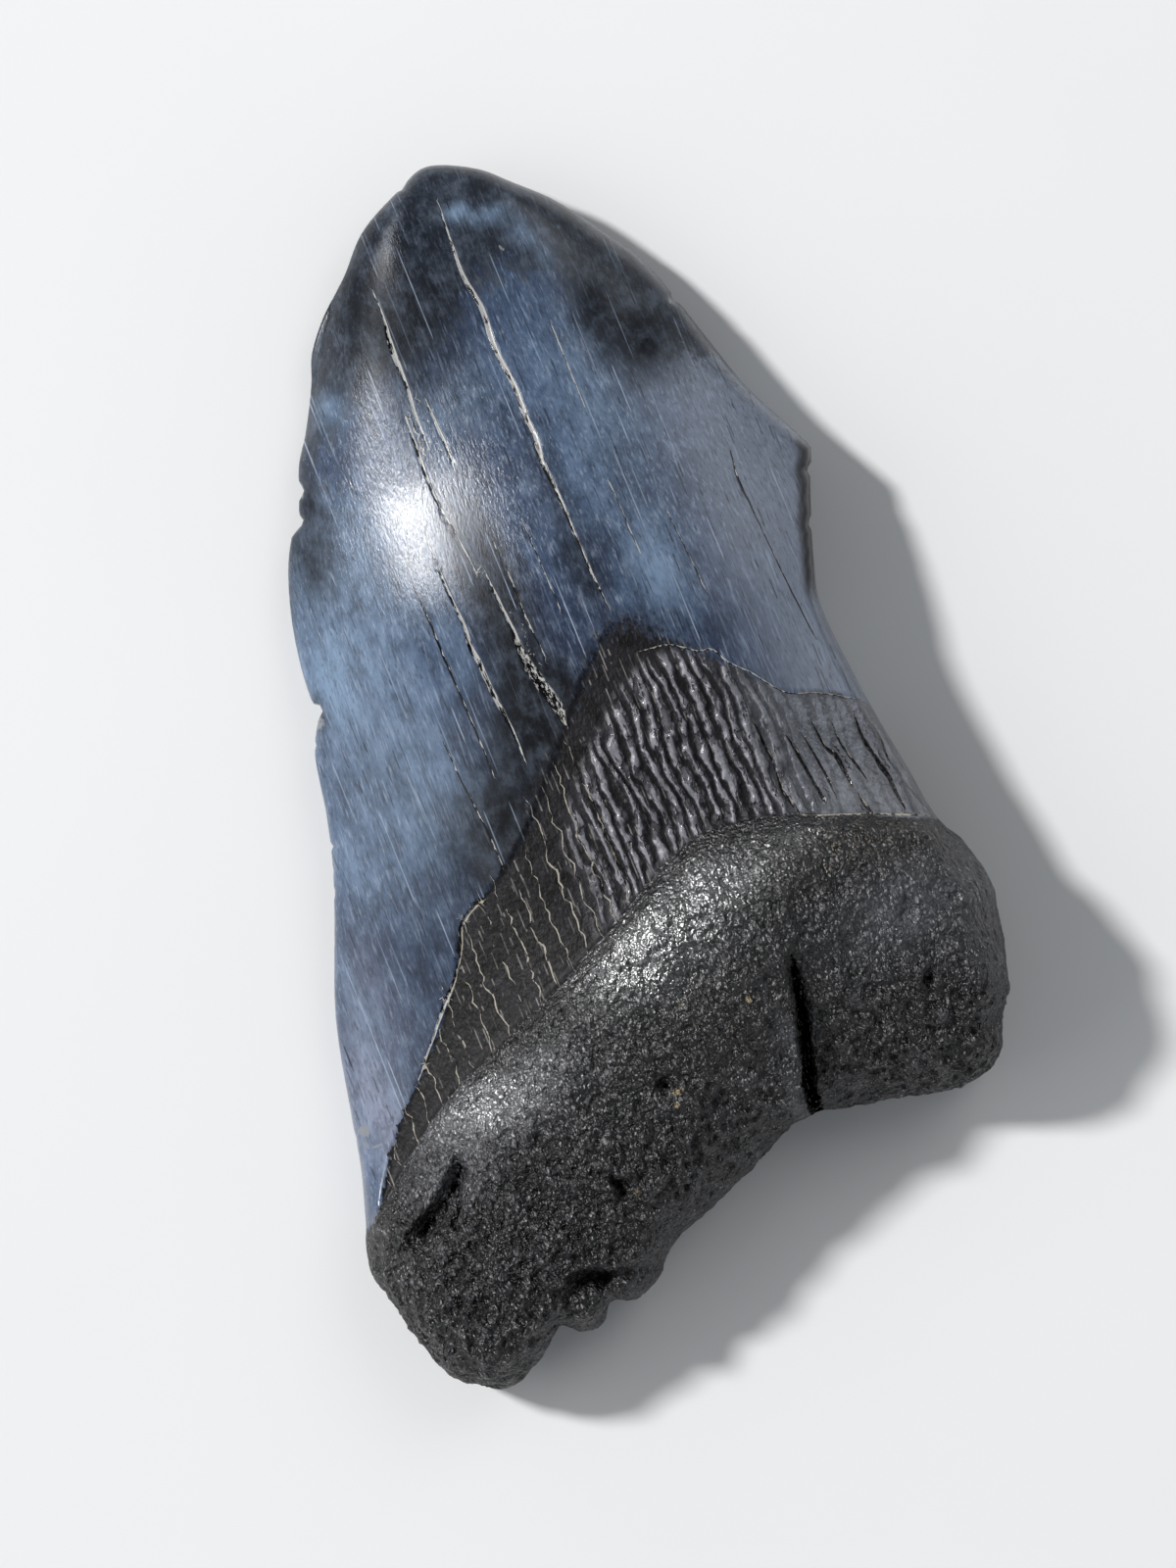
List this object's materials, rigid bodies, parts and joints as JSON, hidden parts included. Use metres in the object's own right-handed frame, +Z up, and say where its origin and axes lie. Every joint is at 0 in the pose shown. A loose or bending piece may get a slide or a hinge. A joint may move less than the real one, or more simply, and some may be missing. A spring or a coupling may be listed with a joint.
{
  "type": "megalodon tooth",
  "caption": "Fossil megalodon tooth with blue-grey enamel, wrinkled bourlette and thick black root, broken and worn along one side, lying with its bulged face up",
  "frame": {"origin": "Centre of the bounding box at the height of the surface that the tooth lies on", "axes": "+Y runs from the root to the tip, +Z up out of the bulged (lingual) face, +X to the broken side"},
  "size_m": [0.0734, 0.1186, 0.0225],
  "materials": {
    "fossil": "water-worn fossil enamel and root, dark blue-grey to black, semi-gloss"
  },
  "bodies": {
    "root": {"tooth": "fossil"}
  },
  "joints": []
}
